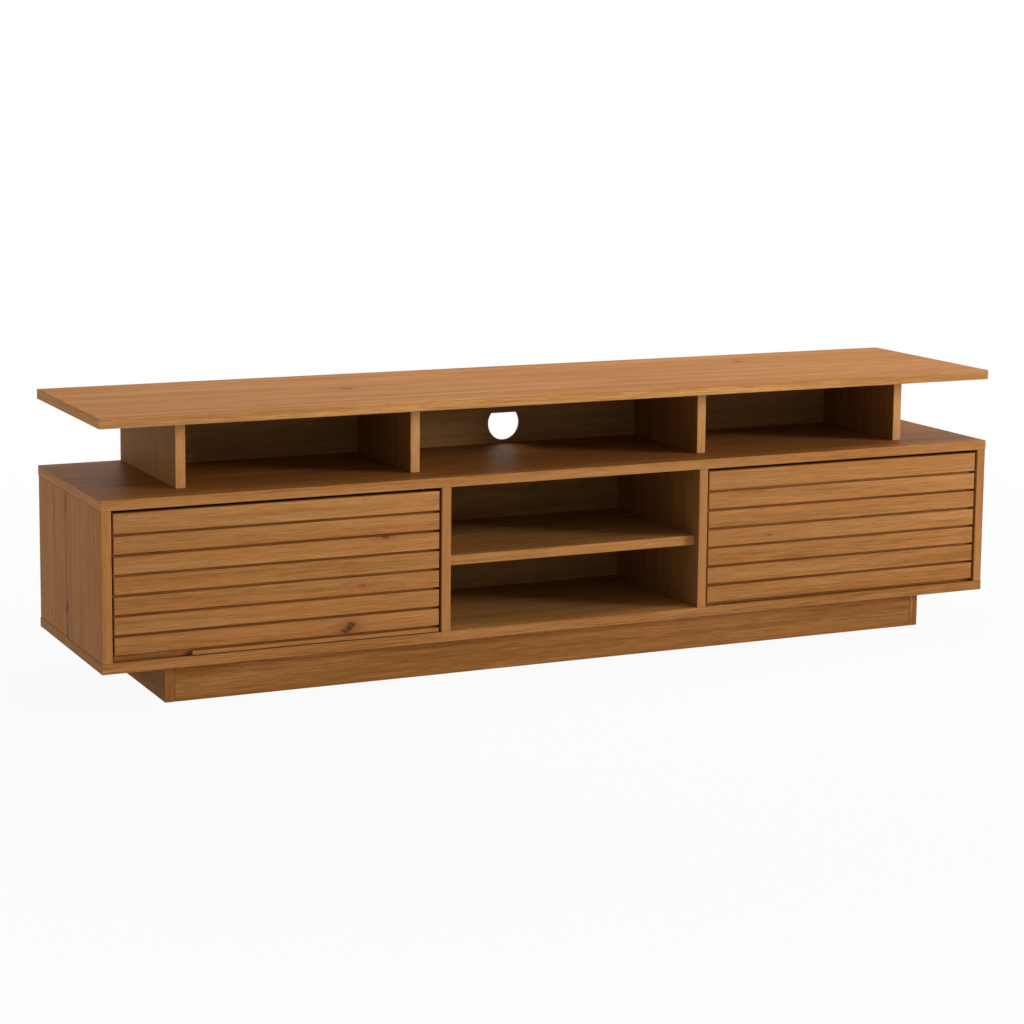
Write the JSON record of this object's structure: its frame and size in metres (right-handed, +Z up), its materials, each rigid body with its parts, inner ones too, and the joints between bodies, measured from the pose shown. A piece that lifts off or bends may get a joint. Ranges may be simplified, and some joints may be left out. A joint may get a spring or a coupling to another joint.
{
  "type": "tv stand with doors",
  "caption": "Low wood television stand: thin raised top on uprights over open niches, slatted side-hinged doors beside an open centre niche, on a recessed plinth.",
  "frame": {"origin": "on the floor, under the centre of the stand's outer box", "axes": "+X to the right along the width, -Y out of the front, +Z up"},
  "size_m": [1.8, 0.4, 0.51],
  "materials": {
    "wood_board": "satin oak decor on board, grain along each board",
    "door_slat_wood": "satin oak decor slats, grain along the slat",
    "wood_back": "satin oak decor on thin fibreboard",
    "beech_dowel": "raw fluted beech",
    "zinc": "zinc plated, dull",
    "bright_steel": "nickel plated",
    "nylon": "moulded dark brown nylon",
    "ferrite": "sintered dark grey magnet"
  },
  "bodies": {
    "cabinet": {"angle_brackets": "zinc", "bracket_screws": "bright_steel", "cam_bolts": "bright_steel", "cam_locks": "zinc", "carcass_bottom_board": "wood_board", "carcass_top_board": "wood_board", "catch_magnets": "ferrite", "catch_screws": "bright_steel", "centre_shelf": "wood_board", "left_door_catch": "nylon", "left_end_upright": "wood_board", "left_middle_upright": "wood_board", "left_partition": "wood_board", "left_side_panel": "wood_board", "lower_centre_back": "wood_back", "lower_left_back": "wood_back", "lower_right_back": "wood_back", "pivot_bushes": "nylon", "plinth_back_board": "wood_board", "plinth_front_board": "wood_board", "plinth_left_board": "wood_board", "plinth_left_brace": "wood_board", "plinth_right_board": "wood_board", "plinth_right_brace": "wood_board", "right_door_catch": "nylon", "right_end_upright": "wood_board", "right_middle_upright": "wood_board", "right_partition": "wood_board", "right_side_panel": "wood_board", "shelf_pegs": "bright_steel", "top_board": "wood_board", "upper_centre_back": "wood_back", "upper_left_back": "wood_back", "upper_right_back": "wood_back", "upright_screws": "bright_steel", "wood_dowels": "beech_dowel"},
    "left_door": {"left_door_panel": "wood_board", "left_door_pivot_pins": "bright_steel", "left_door_pull_rail": "door_slat_wood", "left_door_slat_1": "door_slat_wood", "left_door_slat_2": "door_slat_wood", "left_door_slat_3": "door_slat_wood", "left_door_slat_4": "door_slat_wood", "left_door_slat_5": "door_slat_wood", "left_door_slat_6": "door_slat_wood", "left_door_slat_7": "door_slat_wood", "left_door_strike": "bright_steel"},
    "right_door": {"right_door_panel": "wood_board", "right_door_pivot_pins": "bright_steel", "right_door_slat_1": "door_slat_wood", "right_door_slat_2": "door_slat_wood", "right_door_slat_3": "door_slat_wood", "right_door_slat_4": "door_slat_wood", "right_door_slat_5": "door_slat_wood", "right_door_slat_6": "door_slat_wood", "right_door_slat_7": "door_slat_wood", "right_door_strike": "bright_steel"}
  },
  "joints": [
    {"name": "left_door_hinge", "type": "hinge", "parent": "cabinet", "child": "left_door", "pos_m": [-0.306, -0.185, 0.218], "axis": [0, 0, 1], "range_deg": [0, 105]},
    {"name": "right_door_hinge", "type": "hinge", "parent": "cabinet", "child": "right_door", "pos_m": [0.306, -0.185, 0.218], "axis": [0, 0, -1], "range_deg": [0, 105]}
  ]
}
